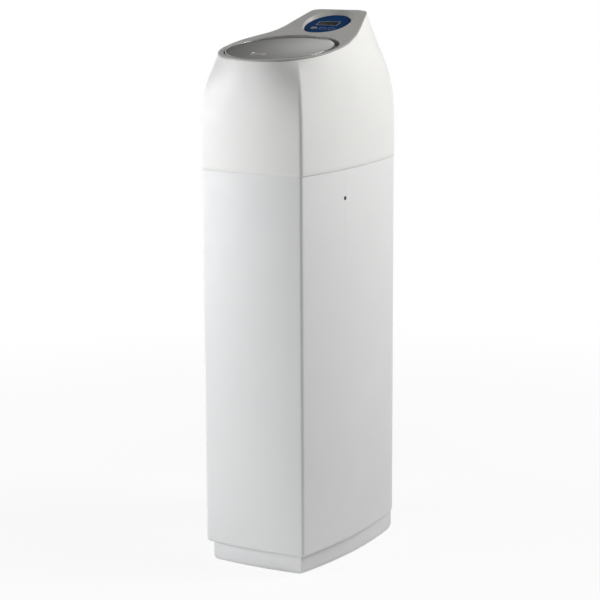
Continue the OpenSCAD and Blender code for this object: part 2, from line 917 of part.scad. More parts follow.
module valve_body() {
    color("dimgray")
        difference() {
            union() {
                translate([0, tank_y, valve_z])
                    cylinder(r = flange_r, h = flange_h);
                translate([0, tank_y, tank_top - plug_l])
                    cylinder(r = neck_hole_r - seat, h = plug_l + 2);
                translate([0, tank_y, valve_z])
                    cylinder(r = tower_r, h = barrel_rise);
                along_y([0, barrel_front, barrel_z], barrel_r, bore_end + 20 - barrel_front);
                for (x = [-1, 1])
                    along_y([x * port_x, tank_y, port_z], port_r, port_l);
                along_y([0, tank_y, port_z], drain_r, port_l);
                along_x([brine_port_x, tank_y, brine_port_z], brine_port_r, brine_port_l - tower_r / 2);
            }
            along_y([0, barrel_front - 1, barrel_z], barrel_bore_r, bore_end + 1 - barrel_front);
            translate([0, tank_y, tank_top - 2 * plug_l])
                cylinder(r = riser_r + seat, h = 2 * plug_l + riser_rise + 1);
            for (x = [-1, 1])
                along_y([x * port_x, tank_y + bore_start, port_z], port_bore_r, port_l);
            along_y([0, tank_y + bore_start, port_z], drain_bore_r, port_l);
            along_x([brine_port_x - 1, tank_y, brine_port_z], tube_bore_r, brine_bore_l);
        }
}

module valve_piston() {
    head = barrel_bore_r - seat;
    color("white")
        difference() {
            union() {
                along_y([0, rod_y, barrel_z], rod_r, rod_l + 2);
                along_y([0, head_y, barrel_z], head, head_l);
            }
            for (y = [10, 24])
                translate([0, head_y + y, barrel_z])
                    rotate([-90, 0, 0])
                        difference() {
                            cylinder(r = head + 1, h = 5);
                            cylinder(r = head - 5, h = 5);
                        }
        }
}

module drive_frame() {
    edge = case_t + seat;
    color("gray")
        difference() {
            union() {
                translate([edge - case_half, plate_y, drive_low + edge])
                    cube([2 * (case_half - edge), plate_t, drive_high - drive_low - 2 * edge]);
                along_y([0, plate_y - boss_l, barrel_z], boss_r, boss_l + plate_t / 2);
            }
            along_y([0, plate_y - gear_gap, barrel_z], hub_r + seat, gear_gap);
            along_y([0, plate_y - gear_gap, barrel_z], rod_r + 2, gear_gap + 2 * plate_t);
            along_y([0, plate_y - gear_gap, motor_z], shaft_r + seat, gear_gap + 2 * plate_t);
        }
}

// Straight-flanked teeth round a hub
module gear_shape(teeth) {
    step = 360 / teeth;
    root = tooth * (teeth / 2 - 1.2);
    tip = tooth * (teeth / 2 + 0.85);
    flank = [[-0.3, root], [-0.11, tip], [0.11, tip], [0.3, root]];
    polygon([for (k = [0:teeth - 1], q = flank) q.y * [cos((k + q.x) * step), sin((k + q.x) * step)]]);
}

module drive_gear() {
    color("ivory")
        difference() {
            union() {
                translate([0, plate_y - gear_gap, barrel_z])
                    rotate([90, 0, 0])
                        linear_extrude(gear_w)
                            gear_shape(gear_teeth);
                along_y([0, plate_y - hub_l - 1, barrel_z], hub_r, hub_l);
            }
            along_y([0, plate_y - 2 * hub_l, barrel_z], rod_r + seat, 4 * hub_l);
        }
}

module motor_pinion() {
    color("silver") {
        translate([0, plate_y - gear_gap + 1, motor_z])
            rotate([90, 0, 0])
                linear_extrude(gear_w + 2)
                    rotate(180 / pinion_teeth)
                        gear_shape(pinion_teeth);
        along_y([0, plate_y - shaft_l - 1, motor_z], shaft_r, shaft_l);
    }
}

module drive_motor() {
    back = plate_y - 18;
    front = cover_front + case_t + seat;
    color("black")
        difference() {
            union() {
                along_y([0, front, motor_z], motor_r, back - front);
                along_y([0, back - 1, motor_z], 6, 1.5);
            }
            along_y([0, plate_y - shaft_l - 3, motor_z], shaft_r + seat, shaft_l);
        }
}

module drive_cover() {
    color("dimgray")
        difference() {
            translate([-case_half, cover_front, drive_low])
                cube([2 * case_half, case_l + plate_t, drive_high - drive_low]);
            translate([case_t - case_half, cover_front + case_t, drive_low + case_t])
                cube([2 * (case_half - case_t), 2 * case_l, drive_high - drive_low - 2 * case_t]);
        }
}

// Union nut and threaded tail on a port
module connector(x) {
    color("gold")
        difference() {
            union() {
                along_y([x, port_end + seat, port_z], thread_r, nut_l + collar_l + thread_l - seat);
                translate([x, port_end + seat, port_z])
                    rotate([-90, 0, 0])
                        cylinder(r = nut_r, h = nut_l, $fn = 6);
            }
            along_y([x, port_end - 1, port_z], port_bore_r, 60);
        }
}

module inlet_connector() {
    connector(port_x);
}

module outlet_connector() {
    connector(-port_x);
}

module drain_fitting() {
    color("gray")
        difference() {
            union() {
                along_y([0, port_end + seat, port_z], drain_r, 8);
                along_y([0, port_end + seat, port_z], 6.3, 36);
                for (y = [18, 25, 32])
                    translate([0, port_end + y, port_z])
                        rotate([-90, 0, 0])
                            cylinder(r1 = 7.2, r2 = 6.3, h = 4);
            }
            along_y([0, port_end - 1, port_z], drain_bore_r, 60);
        }
}

module brine_well() {
    color("white")
        translate([well_at.x, well_at.y, 0])
            difference() {
                translate([0, 0, floor_t])
                    cylinder(r = well_r, h = well_top - floor_t);
                cylinder(r = well_r - well_wall, h = 2 * well_top);
                for (a = [0, 60, 120])
                    rotate([0, 0, a])
                        translate([-2 * well_r, -slot_w / 2, slot_z])
                            cube([4 * well_r, slot_w, slot_h]);
            }
}

module well_cap() {
    color("gray")
        difference() {
            union() {
                translate([well_at.x, well_at.y, well_top])
                    cylinder(r = well_r + cap_over, h = cap_t);
                translate([well_at.x, well_at.y, well_top - cap_skirt])
                    difference() {
                        cylinder(r = well_r - well_wall - seat, h = cap_skirt + cap_t / 2);
                        cylinder(r = well_r - 2 * well_wall - seat, h = cap_skirt);
                    }
            }
            translate([pickup_at.x, pickup_at.y, well_top - 2 * cap_skirt])
                cylinder(r = tube_r + cap_play, h = 4 * cap_skirt);
        }
}

// Foot valve with the rod guide and the pick-up tube
module brine_valve() {
    arm = pickup_at - well_at;
    color("white")
        difference() {
            union() {
                translate([well_at.x, well_at.y, floor_t])
                    cylinder(r = foot_valve_r, h = foot_valve_h);
                translate([well_at.x, well_at.y, arm_z])
                    rotate([0, 0, heading(arm)])
                        translate([0, -arm_w / 2, 0])
                            cube([norm(arm), arm_w, arm_t]);
                translate([pickup_at.x, pickup_at.y, arm_z - 2])
                    cylinder(r = tube_r, h = well_top - pickup_drop - arm_z + 2);
            }
            translate([pickup_at.x, pickup_at.y, arm_z + arm_t / 2])
                cylinder(r = tube_bore_r, h = well_top);
            translate([well_at.x, well_at.y, rod_z - arm_t])
                cylinder(r = float_rod_r + rod_play, h = foot_valve_h);
        }
}

module brine_float() {
    color("orange")
        translate([well_at.x, well_at.y, 0]) {
            translate([0, 0, rod_z])
                cylinder(r = float_rod_r, h = float_z + float_l + rod_over - rod_z);
            translate([0, 0, float_z])
                cylinder(r = float_r, h = float_l);
        }
}

module tube_ring() {
    difference() {
        circle(tube_r, $fn = 48);
        circle(tube_bore_r, $fn = 48);
    }
}

module tube_leg(l) {
    linear_extrude(l)
        tube_ring();
}

module tube_bend() {
    rotate_extrude(angle = 90)
        translate([bend_r, 0])
            tube_ring();
}

module brine_tube() {
    low = well_top - pickup_drop + seat;
    turn = brine_port_z - bend_r;
    run = tank_y - bend_r - (pickup_at.y + bend_r);
    color("black") {
        translate([pickup_at.x, pickup_at.y, low])
            tube_leg(turn - low);
        translate([pickup_at.x, pickup_at.y + bend_r, turn])
            rotate([90, 0, -90])
                tube_bend();
        translate([pickup_at.x, pickup_at.y + bend_r, brine_port_z])
            rotate([-90, 0, 0])
                tube_leg(run);
        translate([pickup_at.x + bend_r, tank_y - bend_r, brine_port_z])
            rotate([0, 0, 90])
                tube_bend();
        translate([pickup_at.x + bend_r, tank_y, brine_port_z])
            rotate([0, 90, 0])
                tube_leg(brine_port_x - seat - pickup_at.x - bend_r);
    }
}

module salt_grid() {
    color("white") {
        difference() {
            translate([0, 0, grid_z])
                linear_extrude(grid_t)
                    polygon(outline(wall + grid_play));
            translate([0, tank_y, 0])
                cylinder(r = tank_r + grid_play, h = 2 * grid_z);
            translate([well_at.x, well_at.y, 0])
                cylinder(r = well_r + grid_play, h = 2 * grid_z);
            for (x = [-grid_left:grid_pitch:grid_right], y = [hole_front:grid_pitch:hole_rear])
                if (norm([x, y] - well_at) > well_r + grid_web)
                    translate([x, y, grid_z - 1])
                        cylinder(r = grid_hole_r, h = grid_t + 2, $fn = 32);
        }
        for (p = [[7 - grid_left, hole_front + 22], [grid_right - 8, hole_front + 22],
                [grid_right - 1, hole_front + 122], [-grid_left, hole_front + 112], [12, hole_rear + 24.5]])
            translate([p.x, p.y, floor_t])
                cylinder(r = leg_r, h = grid_z - floor_t + 1);
    }
}

cabinet();
hood();
top_panel();
lid();
lid_pin();
fascia();
lcd_window();
button_left();
button_middle();
button_right();
circuit_board();
lcd_module();
board_cover();
resin_tank();
tank_base();
riser_tube();
distributor();
resin_bed();
valve_body();
valve_piston();
drive_frame();
drive_gear();
motor_pinion();
drive_motor();
drive_cover();
inlet_connector();
outlet_connector();
drain_fitting();
brine_well();
well_cap();
brine_valve();
brine_float();
brine_tube();
salt_grid();
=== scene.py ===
import json
import math

import bmesh
import bpy
from mathutils import Matrix, Vector
from mathutils.geometry import delaunay_2d_cdt


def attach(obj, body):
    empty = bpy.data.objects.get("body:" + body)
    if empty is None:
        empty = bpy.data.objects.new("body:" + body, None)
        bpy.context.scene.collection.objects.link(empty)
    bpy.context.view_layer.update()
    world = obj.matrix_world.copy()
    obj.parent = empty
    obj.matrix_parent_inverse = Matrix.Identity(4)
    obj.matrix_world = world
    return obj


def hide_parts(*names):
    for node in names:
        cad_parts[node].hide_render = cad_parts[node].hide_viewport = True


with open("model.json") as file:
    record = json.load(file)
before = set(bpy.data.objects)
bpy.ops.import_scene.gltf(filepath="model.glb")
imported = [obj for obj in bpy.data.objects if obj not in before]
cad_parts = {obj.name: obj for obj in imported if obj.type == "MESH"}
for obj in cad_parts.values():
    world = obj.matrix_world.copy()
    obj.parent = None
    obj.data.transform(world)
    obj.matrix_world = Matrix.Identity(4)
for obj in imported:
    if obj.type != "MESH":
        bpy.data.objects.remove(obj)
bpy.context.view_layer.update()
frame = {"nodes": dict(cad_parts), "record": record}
mm = 0.001
rightAngle = math.pi / 2
print("frame loaded", len(frame["nodes"]), "nodes")


# plan curves, in mm, the same ones that shape the solids
plan = {
    "depth": 450, "halfWidth": 150.5, "wideY": 37, "frontR": 852, "sideR": 1014,
    "cornerR": 8, "tightestR": 1.5, "rearR": 95, "arcSteps": (30, 10, 56, 30),
    "panelMid": 65, "panelHalf": 128, "panelFront": 145, "panelPower": 2.5, "panelSideR": 237,
    "panelTaper": 16, "panelBack": 190, "panelBackR": 229, "cornerSoftness": 0.3, "leastDot": 0.001,
    "lidSlope": 7.6, "backSlope": 20, "sweepR": 280, "sweepY": 45, "sweepZ": 1114.5,
}
frontC = Vector((0, plan["frontR"] - plan["depth"] / 2))
sideC = Vector((plan["halfWidth"] - plan["sideR"], plan["wideY"]))
panelAxis = Vector((0, -plan["panelMid"]))
panelSideC = Vector((plan["panelHalf"] - plan["panelSideR"], panelAxis.y))
panelBackC = Vector((0, plan["panelBack"] - plan["panelBackR"]))
taperTurn = math.radians(plan["panelTaper"])
taperN = Vector((math.cos(taperTurn), math.sin(taperTurn)))
taperC = taperN.dot(panelSideC) + plan["panelSideR"]
lidTilt = math.radians(plan["lidSlope"])
backTilt = math.radians(plan["backSlope"])
sweepC = Vector((plan["sweepY"] - plan["sweepR"] * math.sin(lidTilt),
                 plan["sweepZ"] + plan["sweepR"] * math.cos(lidTilt)))
sweepEnd = Vector((sweepC.x + plan["sweepR"] * math.sin(backTilt),
                   sweepC.y - plan["sweepR"] * math.cos(backTilt)))


def heading(v):
    return math.atan2(v.y, v.x)


def arcPoints(centre, radius, start, end, count):
    turns = [start + (end - start) * k / count for k in range(count + 1)]
    return [centre + radius * Vector((math.cos(a), math.sin(a))) for a in turns]


def quarter(count):  # sine and cosine over a right angle
    turns = [rightAngle * k / count for k in range(count + 1)]
    return [(math.sin(a), math.cos(a)) for a in turns]


def meetPoint(c1, r1, c2, r2):
    gap = (c2 - c1).length
    along = (c2 - c1) / gap
    near = (r1 * r1 - r2 * r2 + gap * gap) / (2 * gap)
    return c1 + near * along + math.sqrt(r1 * r1 - near * near) * Vector((-along.y, along.x))


def outline(inset):  # cabinet plan, set in by a distance
    rc = max(plan["cornerR"] - inset, plan["tightestR"])
    f = meetPoint(frontC, plan["frontR"] - inset - rc, sideC, plan["sideR"] - inset - rc)
    gy = plan["depth"] / 2 - plan["rearR"]
    g = Vector((sideC.x + math.sqrt((plan["sideR"] - plan["rearR"]) ** 2 - (gy - sideC.y) ** 2), gy))
    a1, a2, a3 = heading(f - frontC), heading(f - sideC), heading(g - sideC)
    front, corner, side, rear = plan["arcSteps"]
    half = arcPoints(frontC, plan["frontR"] - inset, -rightAngle, a1, front)
    half += arcPoints(f, rc, a1, a2, corner)[1:]
    half += arcPoints(sideC, plan["sideR"] - inset, a2, a3, side)[1:]
    half += arcPoints(g, plan["rearR"] - inset, a3, rightAngle, rear)[1:]
    return half + [Vector((-p.x, p.y)) for p in half[-2:0:-1]]


def exitCircle(p, d, centre, radius):
    v = centre - p
    b = v.dot(d)
    return b + math.sqrt(b * b - v.dot(v) + radius * radius)


def panelReach(d):  # reach of the grey top from its middle
    d = Vector((abs(d.x), d.y))
    if d.y < 0:
        n = plan["panelPower"]
        return ((d.x / plan["panelHalf"]) ** n + (-d.y / plan["panelFront"]) ** n) ** (-1 / n)
    side = exitCircle(panelAxis, d, panelSideC, plan["panelSideR"])
    if heading(panelAxis + side * d - panelSideC) > taperTurn:
        side = (taperC - taperN.dot(panelAxis)) / max(taperN.dot(d), plan["leastDot"])
    back = exitCircle(panelAxis, d, panelBackC, plan["panelBackR"])
    low, k = min(side, back), plan["cornerSoftness"]
    return low - math.log(math.exp(-k * (side - low)) + math.exp(-k * (back - low))) / k


def topEdge(inset):
    edge = []
    for p in outline(0):
        d = (p - panelAxis).normalized()
        edge.append(panelAxis + d * (panelReach(d) - inset))
    return edge


def panelZ(y):  # height of the sloping top
    if y < plan["sweepY"]:
        return plan["sweepZ"] + math.tan(lidTilt) * (y - plan["sweepY"])
    if y < sweepEnd.x:
        return sweepC.y - math.sqrt(plan["sweepR"] ** 2 - (y - sweepC.x) ** 2)
    return sweepEnd.y + math.tan(backTilt) * (y - sweepEnd.x)


def flatRing(points, z):
    return [Vector((p.x, p.y, z)) for p in points]


# mesh helpers: points in mm, meshes in metres
meshing = {"sharpAngle": math.radians(32), "weldGap": 2e-6, "fillKind": 1, "fillGap": 1e-4, "fillClear": 0.5}


class Skin:  # gathers rings and patches of one piece
    def __init__(self):
        self.points, self.faces = [], []

    def add(self, points):
        start = len(self.points)
        self.points += [Vector(p) for p in points]
        return list(range(start, len(self.points)))

    def bridge(self, lower, upper):
        count = len(lower)
        for i in range(count):
            j = (i + 1) % count
            self.faces.append((lower[i], lower[j], upper[j], upper[i]))

    def loft(self, rings, closed=False):
        rows = [self.add(r) for r in rings]
        for a, b in zip(rows, rows[1:]):
            self.bridge(a, b)
        if closed:
            self.bridge(rows[-1], rows[0])
        return rows

    def solid(self, rings):  # loft with both ends capped
        rows = self.loft(rings)
        self.faces += [tuple(reversed(rows[0])), tuple(rows[-1])]

    def patch(self, loops, lift, step, turned=False):  # flat fill between loops, lifted into place
        flat = [p.to_2d() for loop in loops for p in loop]
        edges, start = [], 0
        for loop in loops:
            n = len(loop)
            edges += [(start + i, start + (i + 1) % n) for i in range(n)]
            start += n
        flat += fillPoints(loops, flat, step)
        points, _, faces = delaunay_2d_cdt(flat, edges, [], meshing["fillKind"], meshing["fillGap"])[:3]
        rows = self.add([lift(p) for p in points])
        for face in faces:
            middle = sum((points[k] for k in face), Vector((0, 0))) / len(face)
            if regionHas(loops, middle):
                picked = [rows[k] for k in face]
                self.faces.append(tuple(reversed(picked)) if turned else tuple(picked))

    def piece(self, name):
        mesh = bpy.data.meshes.new(name)
        mesh.from_pydata([p * mm for p in self.points], [], self.faces)
        mesh.validate()
        weld(mesh)
        made = bpy.data.objects.new(name, mesh)
        bpy.context.collection.objects.link(made)
        return made


def insideLoop(loop, q):
    inside = False
    for a, b in zip(loop, loop[1:] + loop[:1]):
        if (a.y > q.y) != (b.y > q.y) and q.x < (b.x - a.x) * (q.y - a.y) / (b.y - a.y) + a.x:
            inside = not inside
    return inside


def regionHas(loops, q):
    return insideLoop(loops[0], q) and not any(insideLoop(hole, q) for hole in loops[1:])


def fillPoints(loops, rim, step):  # staggered grid inside the loops, clear of their points
    xs, ys = [p.x for p in loops[0]], [p.y for p in loops[0]]
    clear, found = step * meshing["fillClear"], []
    for i in range(int((max(xs) - min(xs)) / step) + 1):
        for j in range(int((max(ys) - min(ys)) / step) + 1):
            q = Vector((min(xs) + (i + 0.5 * (j % 2)) * step, min(ys) + j * step))
            if regionHas(loops, q) and all((q - p).length > clear for p in rim):
                found.append(q)
    return found


def smoothShade(mesh):
    mesh.shade_smooth()
    mesh.set_sharp_from_angle(angle=meshing["sharpAngle"])


def weld(mesh):
    work = bmesh.new()
    work.from_mesh(mesh)
    bmesh.ops.remove_doubles(work, verts=work.verts, dist=meshing["weldGap"])
    bmesh.ops.recalc_face_normals(work, faces=work.faces)
    work.to_mesh(mesh)
    work.free()
    smoothShade(mesh)


def cutAway(piece, cutter):
    mod = piece.modifiers.new("cut", "BOOLEAN")
    mod.object = cutter
    mod.operation = "DIFFERENCE"
    mod.solver = "EXACT"
    graph = bpy.context.evaluated_depsgraph_get()
    piece.data = bpy.data.meshes.new_from_object(piece.evaluated_get(graph))
    piece.modifiers.clear()
    bpy.data.objects.remove(cutter)
    smoothShade(piece.data)


def prism(name, profile, turn, low, high):  # profile in XY, pushed along local Z
    skin = Skin()
    skin.solid([[turn @ Vector((p.x, p.y, z)) for p in profile] for z in (low, high)])
    return skin.piece(name)


def ovalPoints(halfX, halfY, count, x=0, y=0):
    return [Vector((x + halfX * math.cos(2 * math.pi * k / count),
                    y + halfY * math.sin(2 * math.pi * k / count))) for k in range(count)]


def roundedBox(width, height, radius, x=0, y=0, steps=6):
    points = []
    for sx, sy, start in ((1, 1, 0), (-1, 1, 90), (-1, -1, 180), (1, -1, 270)):
        centre = Vector((x + sx * (width / 2 - radius), y + sy * (height / 2 - radius)))
        points += arcPoints(centre, radius, math.radians(start), math.radians(start + 90), steps)
    return points


# materials
plastic = {  # what every finish starts from
    "cloud": 7, "cloudDetail": 4, "wearScale": 42, "wearDetail": 3, "wear": 0.04, "noiseLow": 0.3, "noiseHigh": 0.7,
    "grain": 900, "grainDetail": 2, "grainDepth": 0.00003, "bump": 0.35, "metallic": 0.0, "sheen": 0.5,
}


def nodeMaterial(name):
    made = bpy.data.materials.new(name)
    made.use_nodes = True
    tree = made.node_tree
    shader = tree.nodes["Principled BSDF"]
    coords = tree.nodes.new("ShaderNodeTexCoord")
    return made, tree, shader, coords.outputs["Object"]


def noiseValue(tree, coords, scale, detail):
    noise = tree.nodes.new("ShaderNodeTexNoise")
    noise.inputs["Scale"].default_value = scale
    noise.inputs["Detail"].default_value = detail
    tree.links.new(coords, noise.inputs["Vector"])
    return noise.outputs["Fac"]


def mapValue(tree, value, fromLow, fromHigh, toLow, toHigh):
    ramp = tree.nodes.new("ShaderNodeMapRange")
    limits = {"From Min": fromLow, "From Max": fromHigh, "To Min": toLow, "To Max": toHigh}
    for socket, number in limits.items():
        ramp.inputs[socket].default_value = number
    tree.links.new(value, ramp.inputs["Value"])
    return ramp.outputs["Result"]


def remap(tree, noise, low, high):
    return mapValue(tree, noise, plastic["noiseLow"], plastic["noiseHigh"], low, high)


def multiply(tree, first, second):
    product = tree.nodes.new("ShaderNodeMath")
    product.operation = "MULTIPLY"
    tree.links.new(first, product.inputs[0])
    tree.links.new(second, product.inputs[1])
    return product.outputs[0]


def mixColours(tree, fac, first, second):
    mix = tree.nodes.new("ShaderNodeMix")
    mix.data_type = "RGBA"
    tree.links.new(fac, mix.inputs["Factor"])
    mix.inputs["A"].default_value = (*first, 1)
    mix.inputs["B"].default_value = (*second, 1)
    return mix.outputs["Result"]


def addBump(tree, shader, height, strength, distance):
    bump = tree.nodes.new("ShaderNodeBump")
    bump.inputs["Strength"].default_value = strength
    bump.inputs["Distance"].default_value = distance
    tree.links.new(height, bump.inputs["Height"])
    tree.links.new(bump.outputs["Normal"], shader.inputs["Normal"])


def mouldedPlastic(name, first, second, rough, **changes):
    s = {**plastic, **changes}
    made, tree, shader, coords = nodeMaterial(name)
    cloud = remap(tree, noiseValue(tree, coords, s["cloud"], s["cloudDetail"]), 0, 1)
    tree.links.new(mixColours(tree, cloud, first, second), shader.inputs["Base Color"])
    worn = noiseValue(tree, coords, s["wearScale"], s["wearDetail"])
    tree.links.new(remap(tree, worn, rough - s["wear"], rough + s["wear"]), shader.inputs["Roughness"])
    grain = noiseValue(tree, coords, s["grain"], s["grainDetail"])
    addBump(tree, shader, grain, s["bump"], s["grainDepth"])
    shader.inputs["Metallic"].default_value = s["metallic"]
    shader.inputs["Specular IOR Level"].default_value = s["sheen"]
    return made


finishes = {
    "white_shell": mouldedPlastic("whiteShell", (0.808, 0.812, 0.815), (0.828, 0.832, 0.835), 0.42),
    "grey_panel": mouldedPlastic("greyPanel", (0.410, 0.406, 0.394), (0.432, 0.428, 0.416), 0.40,
                                 grain=1400, grainDepth=0.00002, sheen=0.4),
    "grey_lid": mouldedPlastic("greyLid", (0.520, 0.516, 0.502), (0.540, 0.536, 0.522), 0.28,
                               grain=1400, grainDepth=0.0000004, metallic=0.78, sheen=0.4, wear=0.004),
    "steel": mouldedPlastic("pinSteel", (0.55, 0.55, 0.56), (0.62, 0.62, 0.63), 0.3,
                            grain=2500, grainDepth=0.00001, metallic=1.0),
    "blue_plate": mouldedPlastic("bluePlate", (0.002, 0.031, 0.108), (0.0025, 0.034, 0.117), 0.22,
                                 grain=1600, grainDepth=0.000001, sheen=0.005, wear=0.01),
    "dark_glass": mouldedPlastic("displayGlass", (0.016, 0.015, 0.013), (0.022, 0.021, 0.019), 0.14,
                                 grain=2000, grainDepth=0.000004, sheen=0.015),
    "beige_key": mouldedPlastic("beigeKey", (0.20, 0.20, 0.205), (0.23, 0.23, 0.235), 0.32,
                                grainDepth=0.00001, sheen=0.25),
    "blue_key": mouldedPlastic("blueKey", (0.010, 0.045, 0.150), (0.012, 0.052, 0.165), 0.30,
                               grainDepth=0.00001, sheen=0.12),
    "board": mouldedPlastic("greenBoard", (0.01, 0.10, 0.035), (0.015, 0.13, 0.05), 0.4, grain=300),
    "dark_plastic": mouldedPlastic("valvePlastic", (0.035, 0.035, 0.038), (0.05, 0.05, 0.053), 0.45, grain=1200),
    "light_plastic": mouldedPlastic("naturalPlastic", (0.66, 0.65, 0.60), (0.71, 0.70, 0.66), 0.4),
    "vessel": mouldedPlastic("woundVessel", (0.045, 0.13, 0.32), (0.06, 0.17, 0.40), 0.3),
    "black_rubber": mouldedPlastic("blackRubber", (0.018, 0.018, 0.018), (0.028, 0.028, 0.028), 0.6, grain=700),
    "resin": mouldedPlastic("resinBeads", (0.38, 0.20, 0.04), (0.55, 0.31, 0.08), 0.45,
                            grain=1500, grainDepth=0.0003),
    "brass": mouldedPlastic("turnedBrass", (0.60, 0.42, 0.17), (0.68, 0.49, 0.22), 0.28,
                            grain=1800, grainDepth=0.00002, metallic=1.0),
    "float_foam": mouldedPlastic("floatFoam", (0.62, 0.20, 0.03), (0.70, 0.26, 0.05), 0.6, grain=500),
}
slotOf = {row["node"]: row["material_slot"] for row in frame["record"]["subparts"]}
for nodeName, nodeObject in frame["nodes"].items():
    nodeObject.data.materials.clear()
    nodeObject.data.materials.append(finishes[slotOf[nodeName]])
print("materials", len(finishes))


def place(piece, node, body):
    piece.data.materials.clear()
    piece.data.materials.append(finishes[slotOf[node]])
    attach(piece, body)
    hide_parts(node)


# cabinet
cabinet = {
    "height": 850, "wall": 4, "floor": 5, "plinthHeight": 45, "plinthIn": 14, "plinthRear": 0.14,
    "plinthFall": 1.5, "edgeShare": 0.5, "edgeR": 7, "baseR": 13, "roundSteps": 8,
    "grooveHeight": 0.8, "grooveIn": 0.5, "lipR": 0.5, "lipSteps": 4,
    "overflowR": 4.5, "overflowZ": 789.5, "overflowY": -75, "overflowHalf": 12, "overflowSides": 40,
    "boreSlack": 0.1, "notchHalf": 70, "notchR": 12, "notchLow": 775, "notchTall": 200, "notchY": (164, 260),
}


def plinthRing(inset, share, z):  # set back at the front, nearly flush at the rear
    c, ring = cabinet, []
    for far, near in zip(outline(inset), outline(c["plinthIn"] + inset)):
        fall = (0.5 - far.y / plan["depth"]) ** c["plinthFall"]
        spot = far + (near - far) * (c["plinthRear"] + (1 - c["plinthRear"]) * fall) * share
        ring.append(Vector((spot.x, spot.y, z)))
    return ring


def buildCabinet():
    c = cabinet
    seam, low, wall = c["height"] - c["grooveHeight"], c["plinthHeight"], c["wall"]
    turns = quarter(c["roundSteps"])
    rings = [plinthRing(c["baseR"] * (1 - si), 1, c["baseR"] * (1 - co)) for si, co in turns]
    rings += [plinthRing(0, 1, low)]
    rings += [plinthRing(0, c["edgeShare"] * (1 - si), low + c["edgeR"] * (1 - co)) for si, co in turns]
    rings += [flatRing(outline(c["lipR"] * (1 - co)), seam - c["lipR"] * (1 - si))
              for si, co in quarter(c["lipSteps"])]
    rings += [flatRing(outline(inset), z) for inset, z in
              ((c["grooveIn"], seam), (c["grooveIn"], c["height"]), (wall, c["height"]), (wall, low + wall))]
    rings += [plinthRing(wall, 1, low + wall), plinthRing(wall, 1, c["floor"] + c["baseR"])]
    rings += [plinthRing(wall + c["baseR"], 1, c["floor"])]
    skin = Skin()
    skin.solid(rings)
    piece = skin.piece("cabinetShell")
    lean = math.asin((c["overflowY"] - sideC.y) / plan["sideR"])
    turn = Matrix.Translation((sideC.x, sideC.y, c["overflowZ"])) @ Matrix.Rotation(lean, 4, "Z")
    turn = turn @ Matrix.Rotation(rightAngle, 4, "Y")
    bore = ovalPoints(c["overflowR"], c["overflowR"], c["overflowSides"])
    cutAway(piece, prism("overflowCut", bore, turn, plan["sideR"] - c["overflowHalf"],
                         plan["sideR"] + c["overflowHalf"]))
    notch = roundedBox(2 * c["notchHalf"], c["notchTall"], c["notchR"], 0, c["notchLow"] + c["notchTall"] / 2)
    near, far = c["notchY"]
    cutAway(piece, prism("notchCut", notch, Matrix.Rotation(rightAngle, 4, "X"), -far, -near))
    return piece


def paintBoreShade(piece):  # painted shade: the overflow bore's faces get black rubber to stand for the dark inside
    c = cabinet
    # painted shade, not a part: the bore's own faces are coloured black where the inside would lie in shadow
    piece.data.materials.append(finishes["black_rubber"])
    for face in piece.data.polygons:
        spot = face.center / mm
        across = math.hypot(spot.y - c["overflowY"], spot.z - c["overflowZ"])
        if spot.x > 0 and across < c["overflowR"] + c["boreSlack"]:
            face.material_index = 1


cabinetShell = buildCabinet()
place(cabinetShell, "cabinet", "cabinet_body")
paintBoreShade(cabinetShell)
print("cabinet", len(cabinetShell.data.polygons))


# hood
hood = {
    "foot": 850.3, "over": 1.2, "wall": 3, "lean": 4.1, "tongue": 14, "tongueOut": 4.5, "tongueIn": 7,
    "drop": 3.3, "lipR": 0.8, "lipShare": 0.3, "levels": 40, "levelPower": 1.5,
    "first": (0.836, 0.833, 0.822), "second": (0.856, 0.853, 0.842), "rough": 0.42,
}


def hoodRing(foot, edge, t, drop=0):
    lean = t ** hood["lean"]
    ring = []
    for p, q in zip(foot, edge):
        top = panelZ(q.y) - hood["drop"] - drop
        spot = p + (q - p) * lean
        ring.append(Vector((spot.x, spot.y, hood["foot"] + t * (top - hood["foot"]))))
    return ring


def buildHood():
    h = hood
    foot, over, lip = h["foot"], h["over"], h["lipR"]
    outFoot, outEdge = outline(-over), topEdge(0)
    inFoot, inEdge = outline(h["wall"] - over), topEdge(h["wall"])
    levels = [1 - (1 - k / h["levels"]) ** h["levelPower"] for k in range(1, h["levels"] + 1)]
    rings = [flatRing(outline(-over + lip), foot),
             flatRing(outline(-over + lip * h["lipShare"]), foot + lip * h["lipShare"]),
             flatRing(outFoot, foot + lip)]
    rings += [hoodRing(outFoot, outEdge, t) for t in levels]
    rings += [hoodRing(inFoot, inEdge, t, h["wall"]) for t in reversed(levels[1::2])]
    rings += [flatRing(outline(inset), z) for inset, z in
              ((h["tongueIn"], foot + h["wall"]), (h["tongueIn"], foot - h["tongue"]),
               (h["tongueOut"], foot - h["tongue"]), (h["tongueOut"], foot))]
    skin = Skin()
    skin.loft(rings, closed=True)
    return skin.piece("hoodShell")


hoodShell = buildHood()
place(hoodShell, "hood", "hood_body")
warmShell = mouldedPlastic("warmShell", hood["first"], hood["second"], hood["rough"])
hoodShell.data.materials[0] = warmShell  # a shade warmer than the cabinet
print("hood", len(hoodShell.data.polygons))


